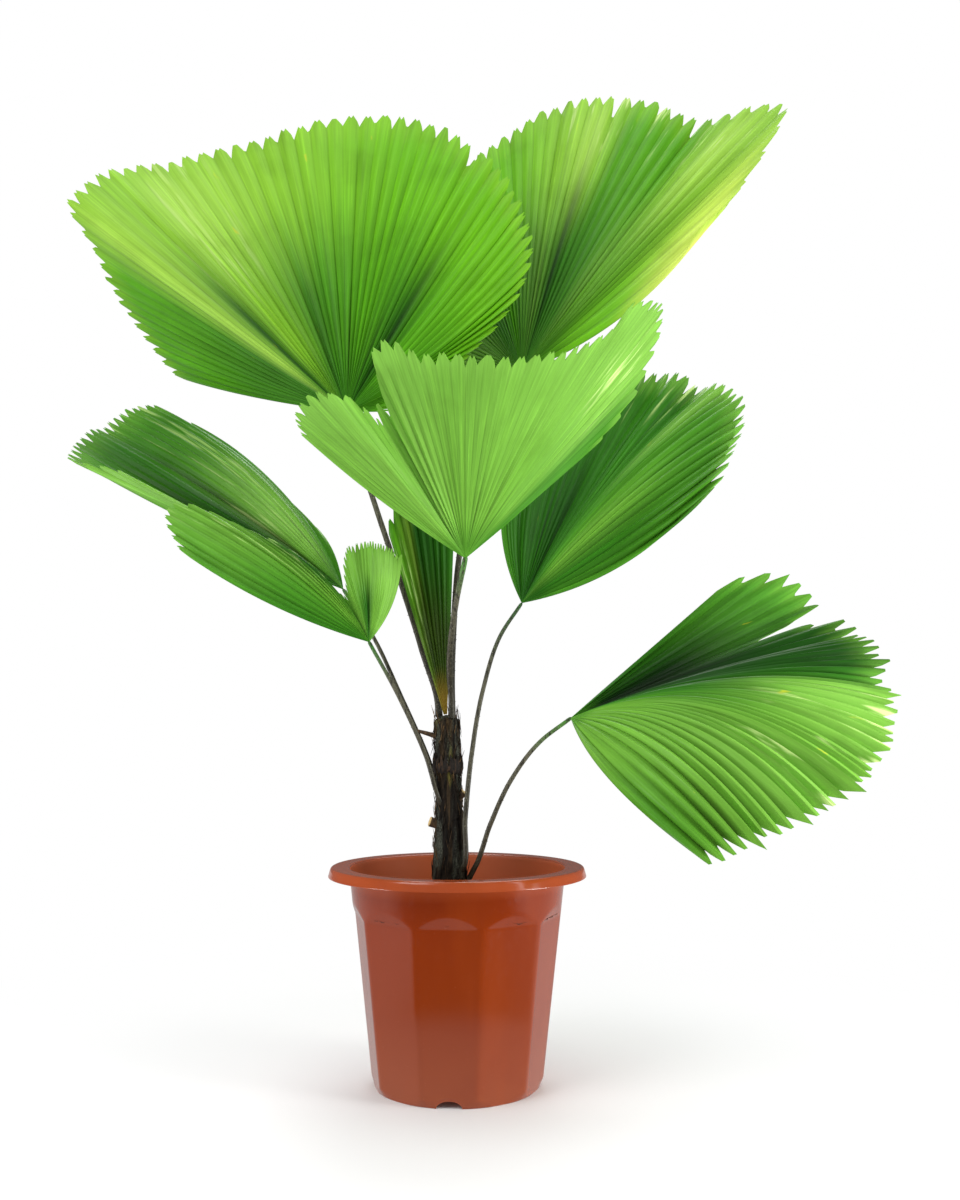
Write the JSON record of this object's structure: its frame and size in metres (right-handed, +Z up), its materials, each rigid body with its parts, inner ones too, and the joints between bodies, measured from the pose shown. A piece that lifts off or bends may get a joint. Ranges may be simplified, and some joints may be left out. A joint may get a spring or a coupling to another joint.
{
  "type": "potted palm",
  "caption": "Fan palm with round pleated leaves on thin stalks, growing from a fibrous trunk in a round plastic pot with flat side panels.",
  "frame": {"origin": "middle of the pot's underside, on the floor", "axes": "+Z up, -Y the front, +X to the right as seen from the front"},
  "size_m": [1.0077, 0.6532, 1.3503],
  "materials": {
    "pot_plastic": "glossy moulded terracotta-coloured plastic",
    "potting_mix": "matte crumbly potting mix",
    "trunk_bark": "matte dark fibrous bark",
    "sheath_fibre": "matte brown fibre",
    "old_stub": "matte dry stalk",
    "stalk": "satin grey-green stalk with dark thorns",
    "leaf_light": "satin light green pleated leaf",
    "leaf_dark": "waxy dark green pleated leaf",
    "leaf_underside": "matte grey-green leaf underside",
    "leaf_young": "satin folded young leaf"
  },
  "bodies": {
    "root": {"pot": "pot_plastic", "potting_mix": "potting_mix", "trunk": "trunk_bark", "sheath_fibre": "sheath_fibre", "old_stub_left": "old_stub", "old_stub_right": "old_stub", "old_spine": "old_stub", "stalk_high_left": "stalk", "stalk_high_right": "stalk", "stalk_front": "stalk", "stalk_right": "stalk", "stalk_low_right": "stalk", "stalk_left_upper": "stalk", "stalk_left_lower": "stalk", "leaf_high_left": "leaf_light", "leaf_high_right": "leaf_light", "leaf_front": "leaf_underside", "leaf_right": "leaf_dark", "leaf_low_right": "leaf_dark", "leaf_left_upper": "leaf_dark", "leaf_left_lower": "leaf_dark", "spear_leaf": "leaf_young"}
  },
  "joints": []
}
